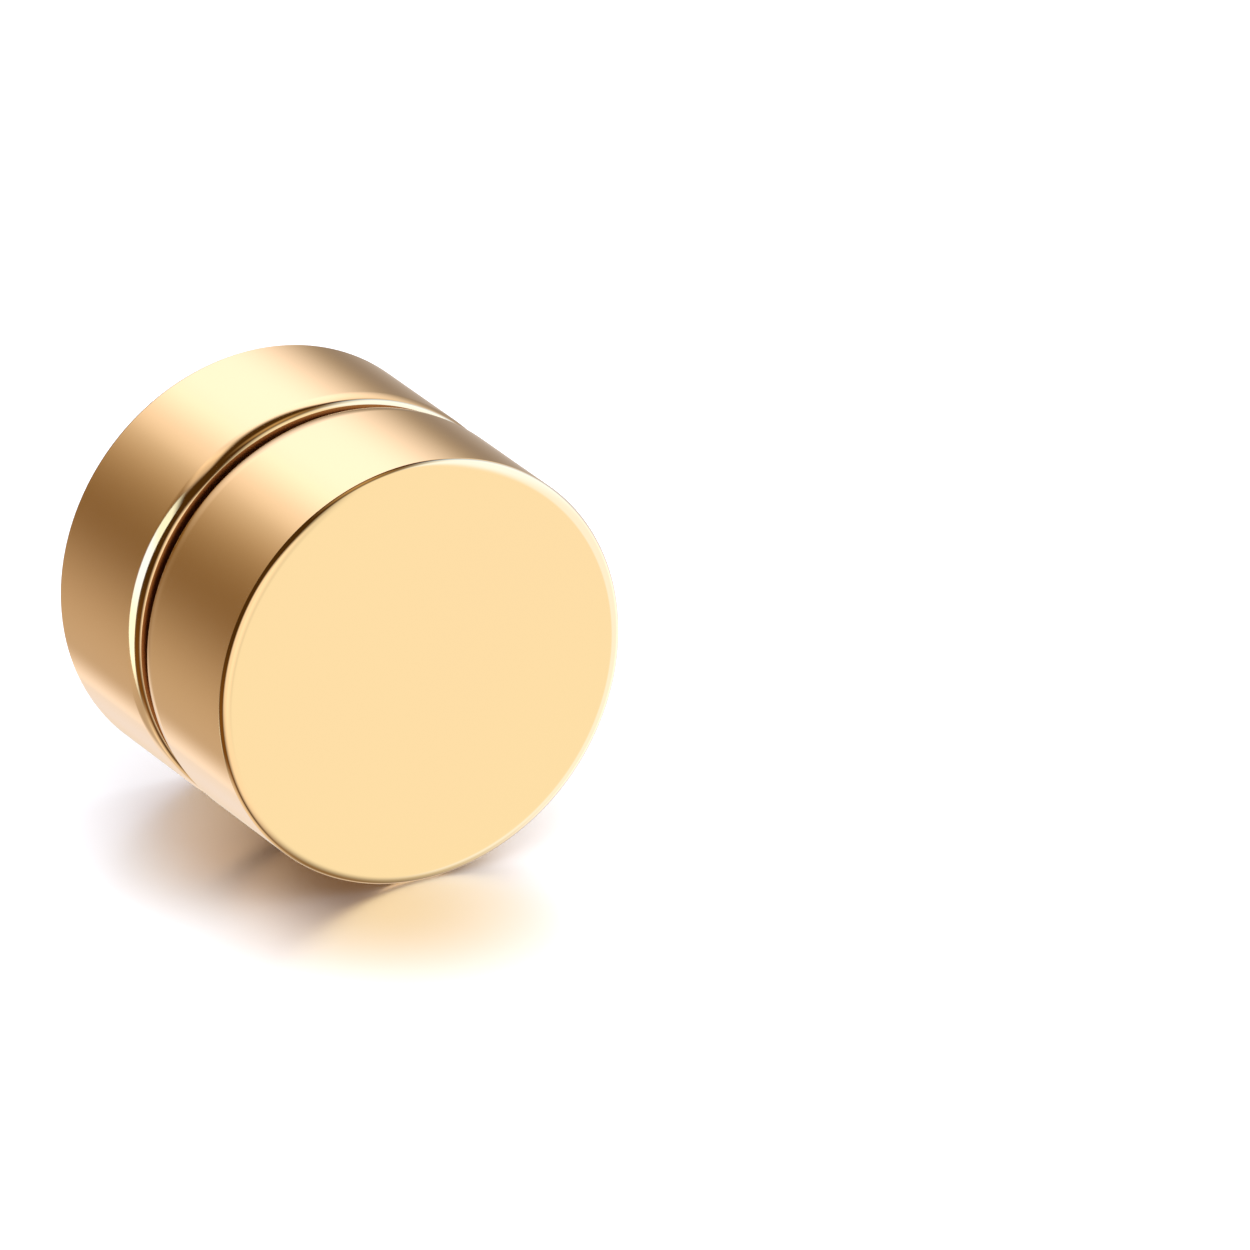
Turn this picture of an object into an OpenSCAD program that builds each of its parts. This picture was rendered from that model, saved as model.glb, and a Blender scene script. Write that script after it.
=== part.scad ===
// Magnetic stud earring: two equal round halves that magnets hold face to face through the ear lobe.
// It lies on its round wall, with its axis along Y, the front face towards -Y and the origin
// on the surface, under the middle of the parting plane.

/* [Halves] */
// Diameter of the two round halves
half_d = 8; // [6:0.5:12]
// Thickness of each half, from its outer face to its magnet's face
half_t = 3.16; // [2.6:0.02:4]
// Gap between the two magnets' faces while they hold the halves together
face_gap = 0.04; // [0.02:0.01:0.1]

/* [Rims] */
// Rounding of the rim around each outer face
outer_rim_r = 0.2; // [0.1:0.05:0.4]
// Rounding of the rim on each side of the groove
groove_rim_r = 0.18; // [0.1:0.02:0.4]

/* [Magnets] */
// Thickness of the case's wall around its magnet
wall_t = 0.8; // [0.7:0.05:1.2]
// Thickness of the case's plate behind its magnet
plate_t = 0.8; // [0.6:0.05:1.2]
// Clearance around a magnet, which a trace of glue fills
magnet_play = 0.04; // [0.02:0.01:0.08]
// How far a magnet's face stands out of its case; both together keep the groove open
magnet_proud = 0.095; // [0.05:0.005:0.2]
// Rounding of a magnet's edges
magnet_edge_r = 0.15; // [0.1:0.05:0.25]
// Width and depth of the bevel around the pocket's mouth
mouth_bevel = 0.12; // [0.06:0.02:0.2]

/* [Hidden] */
$fn = 128;
half_r = half_d / 2;
case_t = half_t - magnet_proud;
pocket_r = half_r - wall_t;
pocket_t = case_t - plate_t;
magnet_r = pocket_r - magnet_play;
magnet_t = magnet_proud + pocket_t - magnet_play;
// How far a cutting shape reaches past the face that it cuts
over = 0.05;
// Which way each half points along Y
front = -1;
back = 1;

// The corner that is left outside a rounding of radius r about the origin
module corner(r) {
    difference() {
        square(r + over);
        circle(r);
    }
}

// Half section of a disc of radius r and thickness t, on the axis at x = 0,
// with its edge rounded to low_r at y = 0 and to high_r at y = t
module disc_section(r, t, low_r, high_r) {
    difference() {
        square([r, t]);
        translate([r - low_r, low_r]) mirror([0, 1]) corner(low_r);
        translate([r - high_r, t - high_r]) corner(high_r);
    }
}

// Half section of the pocket, open at y = 0, with its bevelled mouth
module pocket_section() {
    translate([0, -over]) square([pocket_r, pocket_t + over]);
    polygon([
        [0, -over],
        [pocket_r + mouth_bevel + over, -over],
        [pocket_r - over, mouth_bevel + over],
        [0, mouth_bevel + over]
    ]);
}

// Lays a turned shape on its side: its z = 0 becomes the magnet's face of the half that points to side
module lay(side) {
    translate([0, side * face_gap / 2, half_r]) rotate([-90 * side, 0, 0]) children();
}

// A gold-plated steel cup with a flat face, a rounded rim at each end and a blind pocket for its magnet
module case(side) {
    color("#E9BE7C") lay(side) translate([0, 0, magnet_proud]) rotate_extrude() difference() {
        disc_section(half_r, case_t, groove_rim_r, outer_rim_r);
        pocket_section();
    }
}

// A nickel-plated disc magnet, glued into its case's pocket and standing a little out of it
module magnet(side) {
    color("#B9BABD") lay(side) rotate_extrude()
        disc_section(magnet_r, magnet_t, magnet_edge_r, magnet_edge_r);
}

case(front);  // front_case
magnet(front);  // front_magnet
case(back);  // back_case
magnet(back);  // back_magnet
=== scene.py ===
import math
import bmesh
import bpy
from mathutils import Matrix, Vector


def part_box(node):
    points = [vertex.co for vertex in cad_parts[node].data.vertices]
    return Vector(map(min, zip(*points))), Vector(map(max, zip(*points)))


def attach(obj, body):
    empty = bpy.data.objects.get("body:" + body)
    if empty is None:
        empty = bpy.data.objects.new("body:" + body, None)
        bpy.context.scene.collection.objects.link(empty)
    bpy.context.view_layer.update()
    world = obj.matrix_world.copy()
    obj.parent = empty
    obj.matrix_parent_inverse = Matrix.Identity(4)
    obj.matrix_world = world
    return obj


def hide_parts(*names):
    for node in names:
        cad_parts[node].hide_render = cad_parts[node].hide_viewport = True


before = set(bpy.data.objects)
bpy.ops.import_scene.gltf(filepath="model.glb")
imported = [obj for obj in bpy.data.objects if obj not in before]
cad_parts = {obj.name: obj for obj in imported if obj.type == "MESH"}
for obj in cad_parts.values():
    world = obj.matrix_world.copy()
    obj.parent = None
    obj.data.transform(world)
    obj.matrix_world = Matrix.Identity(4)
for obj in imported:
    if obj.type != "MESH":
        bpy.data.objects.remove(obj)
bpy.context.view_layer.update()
scene = bpy.context.scene
mm = 0.001

# Both halves are turned about one line, along Y at half the earring's height
caseLow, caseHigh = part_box("front_case")
axisHeight = (caseLow.z + caseHigh.z) / 2
axisPoint = Vector((0, 0, axisHeight))
print("frame loaded, axis", round(axisHeight / mm, 2), "mm above the floor")


# sRGB hex code to linear RGBA
def fromHex(code):
    channels = [int(code[i:i + 2], 16) / 255 for i in (1, 3, 5)]
    return [c / 12.92 if c <= 0.04045 else ((c + 0.055) / 1.055) ** 2.4 for c in channels] + [1.0]


# Unit vector towards an azimuth and elevation in degrees: azimuth 0 is towards -Y, 90 towards +X
def pointTo(azimuth, elevation):
    a, e = math.radians(azimuth), math.radians(elevation)
    return Vector((math.sin(a) * math.cos(e), -math.cos(a) * math.cos(e), math.sin(e)))


# Adds a node, sets its inputs and properties, and links its inputs
def addNode(tree, kind, settings=None, links=None):
    node = tree.nodes.new(kind)
    for key, value in (settings or {}).items():
        if isinstance(key, int) or key in node.inputs:
            node.inputs[key].default_value = value
        else:
            setattr(node, key, value)
    for key, source in (links or {}).items():
        tree.links.new(source, node.inputs[key])
    return node


# Camera: long lens, level, a little above the earring and to its left
cameraSettings = {
    "lens": 576,
    "sensor": 36,
    "azimuth": -28.63,
    "elevation": 22.71,
    "distance": 353 * mm,           # to the middle of the front face
    "offsetRight": 3.56 * mm,
    "offsetUp": 0.87 * mm,
    "clip": (10 * mm, 3000 * mm),
}


def makeCamera():
    s = cameraSettings
    back = pointTo(s["azimuth"], s["elevation"])
    right = pointTo(s["azimuth"] + 90, 0)
    up = back.cross(right)
    data = bpy.data.cameras.new("camera")
    data.lens = s["lens"]
    data.sensor_width = s["sensor"]
    data.clip_start, data.clip_end = s["clip"]
    camera = bpy.data.objects.new("camera", data)
    scene.collection.objects.link(camera)
    faceCentre = Vector((0, caseLow.y, axisHeight))
    camera.location = faceCentre + back * s["distance"] + right * s["offsetRight"] + up * s["offsetUp"]
    camera.rotation_euler = (-back).to_track_quat("-Z", "Y").to_euler()
    scene.camera = camera


makeCamera()
print("camera set")


# Turned pieces: an open outline in (radius, y), from the axis and back to the axis, spun about the axis
turning = {
    "steps": 256,                   # facets around
    "weld": 0.0001 * mm,
    "nearRing": 0.0002 * mm,        # how close to a ring its own corners lie
    "sharpFrom": 40,                # degrees between two faces
}


def turn(outline):
    bm = bmesh.new()
    verts = [bm.verts.new((radius, y, axisHeight)) for radius, y in outline]
    edges = [bm.edges.new(pair) for pair in zip(verts, verts[1:])]
    bmesh.ops.spin(
        bm, geom=verts + edges, cent=axisPoint, axis=(0, 1, 0), angle=math.tau,
        steps=turning["steps"], use_merge=True, use_duplicate=False,
    )
    bmesh.ops.remove_doubles(bm, verts=bm.verts, dist=turning["weld"])
    return bm


# The edges of the ring at (radius, y)
def findRing(bm, radius, y):
    near = turning["nearRing"]

    def onRing(vert):
        out = math.hypot(vert.co.x, vert.co.z - axisHeight)
        return abs(out - radius) < near and abs(vert.co.y - y) < near

    return [e for e in bm.edges if onRing(e.verts[0]) and onRing(e.verts[1])]


# Rounds the edge ring at (radius, y), or bevels it where segments is 1
def roundRing(bm, radius, y, size, segments):
    bmesh.ops.bevel(
        bm, geom=findRing(bm, radius, y), offset=size, offset_type="OFFSET", affect="EDGES",
        segments=segments, profile=0.5, material=-1, clamp_overlap=True,
    )


# Makes the case or magnet of one half an object that rides on that half and stands for its CAD node
def finishPiece(bm, half, part, materials, crispRing=None):
    bmesh.ops.recalc_face_normals(bm, faces=bm.faces)
    for edge in bm.edges:
        edge.smooth = edge.calc_face_angle(0) < math.radians(turning["sharpFrom"])
    if crispRing:
        for edge in findRing(bm, *crispRing):
            edge.smooth = False
    for face in bm.faces:
        face.smooth = True
    name = half + part.capitalize()
    mesh = bpy.data.meshes.new(name)
    bm.to_mesh(mesh)
    bm.free()
    for material in materials:
        mesh.materials.append(material)
    piece = bpy.data.objects.new(name, mesh)
    scene.collection.objects.link(piece)
    weighted = piece.modifiers.new("weightedNormals", "WEIGHTED_NORMAL")  # keeps the flat faces mirror flat
    weighted.mode = "FACE_AREA"
    weighted.keep_sharp = True
    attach(piece, half + "_half")
    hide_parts(half + "_" + part)
    print(name, len(mesh.polygons), "faces")


# Case: a steel cup, flat outside, rounded at both rims, with a pocket for the magnet.
# Towards the groove the wall turns in over a soft shoulder to a short cone, then over a small edge.
caseSettings = {
    # The outer rim, as inset from the wall and depth from the outer face: it leaves the wall at once at
    # 13 degrees, turns tightly at its knee and then widely into the face
    "rimStart": 0.142 * mm,
    "knee": (0.011 * mm, 0.096 * mm),
    "faceCorner": 0.125 * mm,
    "kneeRounding": 0.046 * mm,     # from the corner to where the rounding starts
    "faceRounding": 0.101 * mm,
    "coneLength": 0.264 * mm,
    "coneDrop": 0.066 * mm,
    "shoulder": 0.128 * mm,         # from its corner to where the rounding starts
    "grooveEdge": 0.137 * mm,
    "wall": 0.80 * mm,
    "plate": 0.80 * mm,
    "mouthBevel": 0.12 * mm,
    "mouthSoftening": 0.025 * mm,   # edges of the bevel, broken by polishing
    "floorCorner": 0.05 * mm,
    "rimSegments": 12,
    "softSegments": 4,
    # further in than this the mating face gets the turned metal, painted darker as shade between the halves
    "polishedRim": 0.115 * mm,      # how far in the polish reaches on the mating face
}


def makeCase(half, polished, unpolishedAndShaded):
    s = caseSettings
    low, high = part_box(half + "_case")
    outer, mating = (low.y, high.y) if half == "front" else (high.y, low.y)
    inward = 1 if half == "front" else -1
    radius = (high.z - low.z) / 2
    rimStart = outer + inward * s["rimStart"]
    knee = (radius - s["knee"][0], outer + inward * s["knee"][1])
    faceCorner = radius - s["faceCorner"]
    coneEnd = radius - s["coneDrop"]
    coneStart = mating - inward * s["coneLength"]
    pocket = radius - s["wall"]
    pocketFloor = outer + inward * s["plate"]
    bm = turn([
        (0, outer), (faceCorner, outer), knee, (radius, rimStart), (radius, coneStart), (coneEnd, mating),
        (pocket, mating), (pocket, pocketFloor), (0, pocketFloor),
    ])
    roundRing(bm, faceCorner, outer, s["faceRounding"], s["rimSegments"])
    roundRing(bm, *knee, s["kneeRounding"], s["rimSegments"])
    roundRing(bm, radius, coneStart, s["shoulder"], s["rimSegments"])
    roundRing(bm, coneEnd, mating, s["grooveEdge"], s["rimSegments"])
    roundRing(bm, pocket, pocketFloor, s["floorCorner"], s["softSegments"])
    roundRing(bm, pocket, mating, s["mouthBevel"], 1)
    roundRing(bm, pocket, mating - inward * s["mouthBevel"], s["mouthSoftening"], s["softSegments"])
    roundRing(bm, pocket + s["mouthBevel"], mating, s["mouthSoftening"], s["softSegments"])
    # The mating face inside the polished rim and the pocket get the turned metal, whose darker colour is
    # partly painted shade
    for face in bm.faces:
        centre = face.calc_center_median() - axisPoint
        inside = math.hypot(centre.x, centre.z) < radius - s["polishedRim"]
        if inside and abs(centre.y - outer) > s["plate"] / 2:
            face.material_index = 1
    finishPiece(bm, half, "case", [polished, unpolishedAndShaded], (radius, rimStart))


# Magnet: a plated disc with rounded edges
magnetSettings = {
    "edgeRadius": 0.15 * mm,
    "edgeSegments": 6,
}


def makeMagnet(half, plate):
    s = magnetSettings
    low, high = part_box(half + "_magnet")
    radius = (high.z - low.z) / 2
    bm = turn([(0, low.y), (radius, low.y), (radius, high.y), (0, high.y)])
    for y in (low.y, high.y):
        roundRing(bm, radius, y, s["edgeRadius"], s["edgeSegments"])
    finishPiece(bm, half, "magnet", [plate])


# Starts a metal: its shader, and the place on the piece with the axis at zero height
def startMetal(name):
    material = bpy.data.materials.new(name)
    material.use_nodes = True
    tree = material.node_tree
    shader = tree.nodes["Principled BSDF"]
    shader.inputs["Metallic"].default_value = 1
    coordinates = addNode(tree, "ShaderNodeTexCoord")
    place = addNode(
        tree, "ShaderNodeMapping", {"Location": (0, 0, -axisHeight)},
        {"Vector": coordinates.outputs["Object"]})
    return material, tree, shader, place.outputs[0]


# Gives a metal its looks from patterns that run from 0 to 1: the tint turns its first colour and the marks
# its first roughness to the second, and the marks stand out as relief
def dressMetal(tree, shader, s, tint, marks):
    first, second = s["colours"]
    hue = addNode(
        tree, "ShaderNodeMix", {"data_type": "RGBA", 6: fromHex(first), 7: fromHex(second)}, {0: tint})
    tree.links.new(hue.outputs[2], shader.inputs["Base Color"])
    between, onMarks = s["roughness"]
    gloss = addNode(tree, "ShaderNodeMapRange", {"To Min": between, "To Max": onMarks}, {"Value": marks})
    tree.links.new(gloss.outputs[0], shader.inputs["Roughness"])
    bump = addNode(tree, "ShaderNodeBump", {"Distance": s["markDepth"]}, {"Height": marks})
    tree.links.new(bump.outputs[0], shader.inputs["Normal"])


# Marks that run round the axis, on walls and on faces alike: noise that changes fast along the outline
# (radius plus length) and slowly with the direction from the axis
roundMarks = {
    "detail": 2.0,
    "roughness": 0.55,
}


def addRoundMarks(tree, place, spacing, arc):
    parts = addNode(tree, "ShaderNodeSeparateXYZ", links={0: place})
    flat = addNode(tree, "ShaderNodeCombineXYZ", links={"X": parts.outputs["X"], "Z": parts.outputs["Z"]})
    radius = addNode(tree, "ShaderNodeVectorMath", {"operation": "LENGTH"}, {0: flat.outputs[0]})
    outline = addNode(
        tree, "ShaderNodeMath", {"operation": "ADD"}, {0: radius.outputs["Value"], 1: parts.outputs["Y"]})
    along = addNode(
        tree, "ShaderNodeMath", {"operation": "MULTIPLY", 1: 1 / spacing}, {0: outline.outputs[0]})
    direction = addNode(tree, "ShaderNodeVectorMath", {"operation": "NORMALIZE"}, {0: flat.outputs[0]})
    around = addNode(
        tree, "ShaderNodeVectorMath", {"operation": "SCALE", "Scale": arc}, {0: direction.outputs[0]})
    shift = addNode(tree, "ShaderNodeCombineXYZ", links={"Y": along.outputs[0]})
    spot = addNode(
        tree, "ShaderNodeVectorMath", {"operation": "ADD"}, {0: around.outputs[0], 1: shift.outputs[0]})
    marks = addNode(
        tree, "ShaderNodeTexNoise",
        {"Scale": 1.0, "Detail": roundMarks["detail"], "Roughness": roundMarks["roughness"]},
        {"Vector": spot.outputs[0]})
    return marks.outputs[0]


# Polished stainless steel with a gold PVD coat: a near mirror, warm yellow.
# Its coat drifts a little in hue, and the buffing wheel leaves faint lines round the axis.
goldSettings = {
    "colours": ("#FFE0AA", "#FFDDAB"),
    "driftSize": 5 * mm,
    "driftDetail": 1.0,
    "roughness": (0.055, 0.095),    # between the lines and on them
    "lineSpacing": 0.11 * mm,       # real ones are finer; coarse enough to show
    "lineArc": 5,
    "markDepth": 0.00002 * mm,
}


def makeGold():
    s = goldSettings
    material, tree, shader, place = startMetal("polishedGoldPlatedSteel")
    drift = addNode(
        tree, "ShaderNodeTexNoise", {"Scale": 1 / s["driftSize"], "Detail": s["driftDetail"]},
        {"Vector": place})
    lines = addRoundMarks(tree, place, s["lineSpacing"], s["lineArc"])
    dressMetal(tree, shader, s, drift.outputs[0], lines)
    return material


# The same steel and coat left as turned, on the mating face and in the pocket: dull, with the marks of the
# tool; its dark brown is partly the bare coat and partly painted shade, which makes the slot between the
# halves look near black
turnedAndShadedSettings = {
    # dark browns: partly the bare coat, partly painted shade for the slot between the halves
    "colours": ("#96582A", "#B8763C"),
    "roughness": (0.52, 0.38),      # down in the tool marks and up on the ridges between them
    "feed": 0.07 * mm,              # distance between the tool marks
    "feedArc": 1.5,
    "markDepth": 0.002 * mm,
}


def makeTurnedAndShaded():
    s = turnedAndShadedSettings
    material, tree, shader, place = startMetal("turnedGoldPlatedSteelWithPaintedShade")
    marks = addRoundMarks(tree, place, s["feed"], s["feedArc"])
    dressMetal(tree, shader, s, marks, marks)
    return material


# Nickel plate over sintered magnet: satin, cool grey, with a fine even grain and faint clouding
nickelSettings = {
    "colours": ("#D2D0CB", "#BDBBB5"),
    "cloudSize": 1.6 * mm,
    "cloudDetail": 3.0,
    "roughness": (0.20, 0.30),      # between the grains and on them
    "grain": 0.09 * mm,             # real grain is finer; coarse enough to show
    "grainDetail": 2.0,
    "markDepth": 0.0006 * mm,
}


def makeNickel():
    s = nickelSettings
    material, tree, shader, place = startMetal("nickelPlatedMagnet")
    clouds = addNode(
        tree, "ShaderNodeTexNoise", {"Scale": 1 / s["cloudSize"], "Detail": s["cloudDetail"]},
        {"Vector": place})
    grain = addNode(
        tree, "ShaderNodeTexNoise", {"Scale": 1 / s["grain"], "Detail": s["grainDetail"]},
        {"Vector": place})
    dressMetal(tree, shader, s, clouds.outputs[0], grain.outputs[0])
    return material


gold = makeGold()
turnedAndShaded = makeTurnedAndShaded()
nickel = makeNickel()
for half in ("front", "back"):
    makeCase(half, gold, turnedAndShaded)
    makeMagnet(half, nickel)


# Studio: what the metal mirrors, soft panels of light in a dark warm room. Those below the horizon are
# the lit white board, and the one with a strength below zero is a dark card that takes light away.
# Angles are in degrees, directions as in pointTo, and a softness is the width of the fade across an edge.
studioSettings = {
    "room": "#4A3212",
    "boardLight": "#F0F6FF",        # falls on the board from all round
    "boardStrength": 1.50,
    "panels": [
        # name, azimuth, half width, softness at the sides, lowest and highest elevation,
        # softness below and above, colour, strength
        ("front", 47, 57, 44, -62, 63, 44, 26, "#FAFFFC", 0.97),
        ("frontLow", -31, 21, 28, -24, 28, 24, 20, "#FFF8F4", 0.97),
        ("frontUnder", -27, 17, 44, -62, -24, 44, 24, "#FFF8F4", 0.97),
        ("leftGlow", -86, 24, 24, -56, -8, 24, 40, "#FFAF4B", 0.12),
        ("rimLight", 78, 40, 12, -50, 58, 20, 24, "#4490E7", 0.66),
        ("rimHigh", 78, 36, 20, 6, 58, 24, 24, "#34A0FF", 0.45),
        ("right", 108, 22, 30, -50, 46, 40, 30, "#E8EEFF", 0.36),
        ("rightFloor", 108, 20, 26, -60, -8, 30, 30, "#D8E0FF", 0.30),
        ("backWindow", 164, 37, 46, 15, 48.5, 38, 8, "#FFF0DA", 0.93),
        ("sky", 166, 26, 40, 19, 47.5, 30, 8, "#A8C4FF", 0.85),
        ("highLeft", -150, 12, 14, 33, 49, 10, 8, "#FFF0E8", 0.55),
        ("backRight", 135, 24, 24, -30, 30, 20, 30, "#F6F0EA", 0.20),
        ("backLeft", -160, 20, 4, -40, 34, 20, 20, "#F0C898", 0.18),
        ("floorWarm", -178, 60, 40, -70, -11, 30, 44, "#F0E6DE", 0.42),
        ("floorCool", 176, 12, 16, -56, -24, 30, 24, "#EBEFFF", 0.60),
        ("floorPeach", 152, 12, 16, -56, -24, 30, 24, "#FFEDD5", 0.54),
        ("strip", -131, 8.5, 2, -34, 31, 20, 10, "#D8EFFF", 1.45),
        ("stripCore", -131, 8.5, 2, -6, 15, 16, 10, "#0061FF", 0.75),
        ("floorLeft", -128, 40, 40, -75, -47, 30, 18, "#FFF4E8", 0.55),
        ("underneath", 0, 181, 10, -110, -72, 10, 24, "#FFE0B4", 0.20),
        ("overhead", 60, 181, 10, 77, 110, 28, 10, "#FFDDA8", 0.47),
        ("darkCard", 180, 16, 12, -22, 6, 8, 8, "#FFFFFF", -0.12),
    ],
}


# Azimuth and elevation of the direction in which a ray leaves for the studio
def addDirection(tree):
    place = addNode(tree, "ShaderNodeTexCoord")
    parts = addNode(tree, "ShaderNodeSeparateXYZ", links={0: place.outputs["Generated"]})
    towards = addNode(tree, "ShaderNodeMath", {"operation": "MULTIPLY", 1: -1.0}, {0: parts.outputs["Y"]})
    bearing = addNode(
        tree, "ShaderNodeMath", {"operation": "ARCTAN2"}, {0: parts.outputs["X"], 1: towards.outputs[0]})
    azimuth = addNode(tree, "ShaderNodeMath", {"operation": "DEGREES"}, {0: bearing.outputs[0]})
    raised = addNode(tree, "ShaderNodeMath", {"operation": "ARCSINE"}, {0: parts.outputs["Z"]})
    elevation = addNode(tree, "ShaderNodeMath", {"operation": "DEGREES"}, {0: raised.outputs[0]})
    return azimuth.outputs[0], elevation.outputs[0]


# Adds one soft-edged panel to the light so far
def addPanel(tree, total, azimuth, elevation, panel):
    name, centre, halfWidth, side, lowest, highest, below, above, colour, strength = panel
    away = addNode(tree, "ShaderNodeMath", {"operation": "SUBTRACT", 1: centre}, {0: azimuth})
    wrapped = addNode(
        tree, "ShaderNodeMath", {"operation": "WRAP", 1: 180.0, 2: -180.0}, {0: away.outputs[0]})
    distance = addNode(tree, "ShaderNodeMath", {"operation": "ABSOLUTE"}, {0: wrapped.outputs[0]})
    edges = (
        (elevation, lowest - below / 2, lowest + below / 2),
        (elevation, highest + above / 2, highest - above / 2),
        (distance.outputs[0], halfWidth + side / 2, halfWidth - side / 2),
    )
    red, green, blue = [c * strength for c in fromHex(colour)[:3]]
    lit = addNode(tree, "ShaderNodeCombineXYZ", {"label": name, "X": red, "Y": green, "Z": blue})
    for value, dark, full in edges:
        edge = addNode(
            tree, "ShaderNodeMapRange",
            {"interpolation_type": "SMOOTHSTEP", "From Min": dark, "From Max": full}, {"Value": value})
        lit = addNode(
            tree, "ShaderNodeVectorMath", {"operation": "SCALE"},
            {0: lit.outputs[0], "Scale": edge.outputs[0]})
    added = addNode(tree, "ShaderNodeVectorMath", {"operation": "ADD"}, {0: total, 1: lit.outputs[0]})
    return added.outputs[0]


def makeStudio():
    s = studioSettings
    world = bpy.data.worlds.new("studio")
    scene.world = world
    world.use_nodes = True
    tree = world.node_tree
    tree.nodes.clear()
    azimuth, elevation = addDirection(tree)
    room = addNode(tree, "ShaderNodeRGB")
    room.outputs[0].default_value = fromHex(s["room"])
    total = room.outputs[0]
    for panel in s["panels"]:
        total = addPanel(tree, total, azimuth, elevation, panel)
    mirrored = addNode(tree, "ShaderNodeBackground", links={"Color": total})
    around = addNode(
        tree, "ShaderNodeBackground", {"Color": fromHex(s["boardLight"]), "Strength": s["boardStrength"]})
    behind = addNode(tree, "ShaderNodeBackground", {"Color": (1, 1, 1, 1)})
    path = addNode(tree, "ShaderNodeLightPath")
    lighting = addNode(
        tree, "ShaderNodeMixShader",
        links={0: path.outputs["Is Diffuse Ray"], 1: mirrored.outputs[0], 2: around.outputs[0]})
    mixed = addNode(
        tree, "ShaderNodeMixShader",
        links={0: path.outputs["Is Camera Ray"], 1: lighting.outputs[0], 2: behind.outputs[0]})
    addNode(tree, "ShaderNodeOutputWorld", links={"Surface": mixed.outputs[0]})
    world.cycles.sampling_method = "NONE"   # so that each kind of ray finds its own light


makeStudio()
print("studio lit by", len(studioSettings["panels"]), "panels")


# Floor: a white enamelled board, glossy close to the earring and matt further off
floorSettings = {
    "corners": ((-1500 * mm, -1500 * mm, 0), (1500 * mm, 1500 * mm, 0)),
    "colour": "#FEFAF8",
    "roughness": (0.285, 0.46),     # on the glossy line, and where the gloss has gone
    "glossy": {                     # the most polished line of the board: under the front half and before it
        "x": -1.1 * mm,
        "y": (-3.9 * mm, -1.4 * mm),
        "slimming": 1.15,           # its surroundings reach less far along X than along Y
    },
    "mirror": 0.92,                 # on that line
    "mirrorReach": 6.0 * mm,        # from there to where the gloss has gone
}


# A level rectangle from one corner to the opposite one
def makePlane(name, corner, opposite):
    low, high = Vector(corner), Vector(opposite)
    bm = bmesh.new()
    bmesh.ops.create_grid(bm, x_segments=1, y_segments=1, size=0.5)     # one metre wide
    bmesh.ops.scale(bm, verts=bm.verts, vec=(high.x - low.x, high.y - low.y, 1))
    bmesh.ops.translate(bm, verts=bm.verts, vec=(low + high) / 2)
    mesh = bpy.data.meshes.new(name)
    bm.to_mesh(mesh)
    bm.free()
    plane = bpy.data.objects.new(name, mesh)
    scene.collection.objects.link(plane)
    return plane


# How far a place on the floor lies from a line along Y
def addDistance(tree, line):
    low, high = line["y"]
    wide = line["slimming"]
    coordinates = addNode(tree, "ShaderNodeTexCoord")
    place = addNode(
        tree, "ShaderNodeMapping",
        {"Location": (-line["x"] * wide, -(low + high) / 2, 0), "Scale": (wide, 1, 1)},
        {"Vector": coordinates.outputs["Object"]})
    folded = addNode(tree, "ShaderNodeVectorMath", {"operation": "ABSOLUTE"}, {0: place.outputs[0]})
    past = addNode(
        tree, "ShaderNodeVectorMath", {"operation": "SUBTRACT", 1: (0, (high - low) / 2, 0)},
        {0: folded.outputs[0]})
    outside = addNode(
        tree, "ShaderNodeVectorMath", {"operation": "MAXIMUM", 1: (0, 0, 0)}, {0: past.outputs[0]})
    flat = addNode(
        tree, "ShaderNodeVectorMath", {"operation": "MULTIPLY", 1: (1, 1, 0)}, {0: outside.outputs[0]})
    distance = addNode(tree, "ShaderNodeVectorMath", {"operation": "LENGTH"}, {0: flat.outputs[0]})
    return distance.outputs["Value"]


# The metal doesn't mirror the board itself: it sees the studio's lower panels in its place
def makeFloor():
    s = floorSettings
    floor = makePlane("floor", *s["corners"])
    floor.visible_glossy = False
    material = bpy.data.materials.new("whiteEnamel")
    material.use_nodes = True
    tree = material.node_tree
    shader = tree.nodes["Principled BSDF"]
    shader.inputs["Base Color"].default_value = fromHex(s["colour"])
    distance = addDistance(tree, s["glossy"])
    reach = s["mirrorReach"]
    mirror = addNode(
        tree, "ShaderNodeMapRange",
        {"interpolation_type": "SMOOTHSTEP", "From Min": reach, "From Max": 0.0, "To Max": s["mirror"]},
        {"Value": distance})
    tree.links.new(mirror.outputs[0], shader.inputs["Metallic"])
    glossiest, dullest = s["roughness"]
    gloss = addNode(
        tree, "ShaderNodeMapRange", {"From Max": reach, "To Min": glossiest, "To Max": dullest},
        {"Value": distance})
    tree.links.new(gloss.outputs[0], shader.inputs["Roughness"])
    floor.data.materials.append(material)


makeFloor()
print("floor laid")


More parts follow.
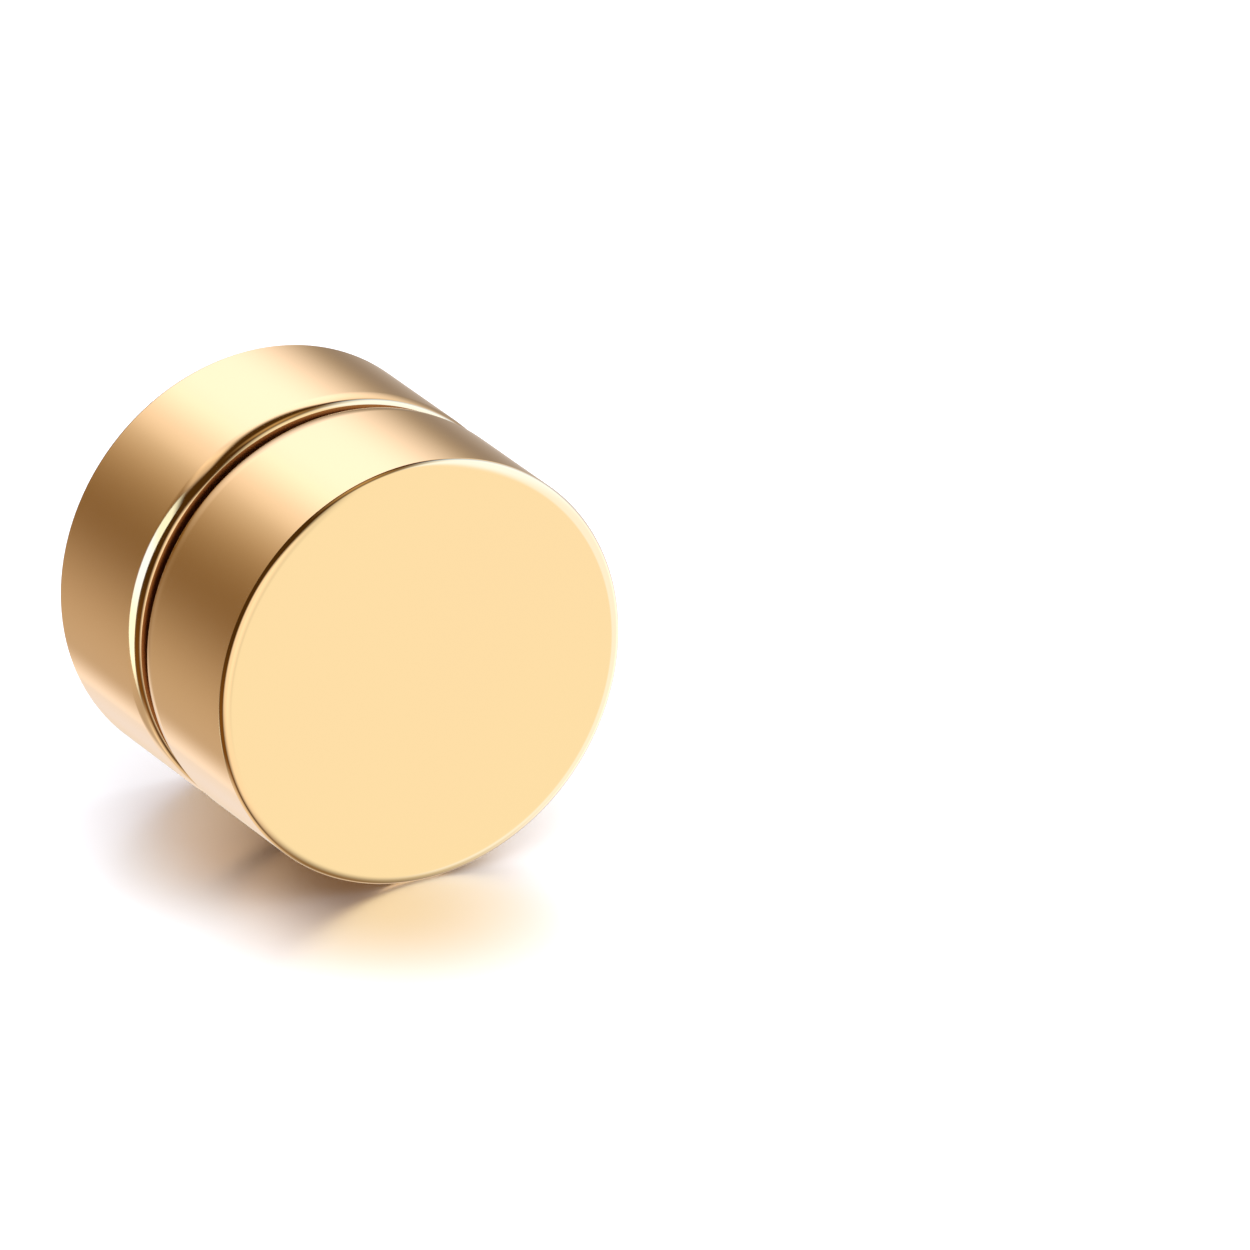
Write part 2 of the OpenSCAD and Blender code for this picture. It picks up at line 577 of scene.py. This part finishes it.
# Contact shade: the shaded strip of board beside the contact line. Only the metal's mirror image in the
# board shows it; a ray that comes straight from the camera to the metal doesn't.
shadeSettings = {
    # just under the board's surface, and no further forward than just behind the front face
    "corners": ((-7 * mm, -2.88 * mm, -0.01 * mm), (7 * mm, 7 * mm, -0.01 * mm)),
    "hiddenFrom": ("camera", "diffuse", "shadow", "transmission"),
    "colour": "#76604F",
    "darkest": {"x": 0, "y": (-3.2 * mm, -2.2 * mm), "slimming": 1.9},
    "full": 2.2 * mm,               # from that line to here
    "gone": 7.2 * mm,               # from here on
    "glossyDepth": 1.5,             # more mirrorings than the first one
}


def makeShade():
    s = shadeSettings
    shade = makePlane("contactShade", *s["corners"])
    for rays in s["hiddenFrom"]:
        setattr(shade, "visible_" + rays, False)
    material = bpy.data.materials.new("contactShade")
    material.use_nodes = True
    tree = material.node_tree
    tree.nodes.clear()
    near = addNode(
        tree, "ShaderNodeMapRange",
        {"interpolation_type": "SMOOTHSTEP", "From Min": s["gone"], "From Max": s["full"]},
        {"Value": addDistance(tree, s["darkest"])})
    path = addNode(tree, "ShaderNodeLightPath")
    again = addNode(
        tree, "ShaderNodeMath", {"operation": "GREATER_THAN", 1: s["glossyDepth"]},
        {0: path.outputs["Glossy Depth"]})
    share = addNode(
        tree, "ShaderNodeMath", {"operation": "MULTIPLY"}, {0: near.outputs[0], 1: again.outputs[0]})
    clear = addNode(tree, "ShaderNodeBsdfTransparent")
    dark = addNode(tree, "ShaderNodeEmission", {"Color": fromHex(s["colour"])})
    mixed = addNode(
        tree, "ShaderNodeMixShader", links={0: share.outputs[0], 1: clear.outputs[0], 2: dark.outputs[0]})
    addNode(tree, "ShaderNodeOutputMaterial", links={"Surface": mixed.outputs[0]})
    shade.data.materials.append(material)


makeShade()
print("contact shade laid")


# Lamp: a large soft box in front and above, which lights the board and isn't mirrored in the metal
lampSettings = {
    "azimuth": 0,
    "elevation": 52,
    "distance": 160 * mm,
    "size": 120 * mm,
    "power": 0.10,
}


def makeLamp():
    s = lampSettings
    towards = pointTo(s["azimuth"], s["elevation"])
    data = bpy.data.lights.new("softBox", "AREA")
    data.shape = "SQUARE"
    data.size = s["size"]
    data.energy = s["power"]
    lamp = bpy.data.objects.new("softBox", data)
    scene.collection.objects.link(lamp)
    lamp.location = towards * s["distance"]
    lamp.rotation_euler = towards.to_track_quat("Z", "Y").to_euler()
    lamp.visible_glossy = False


makeLamp()
scene.view_settings.view_transform = "Standard"
print("lamp set")
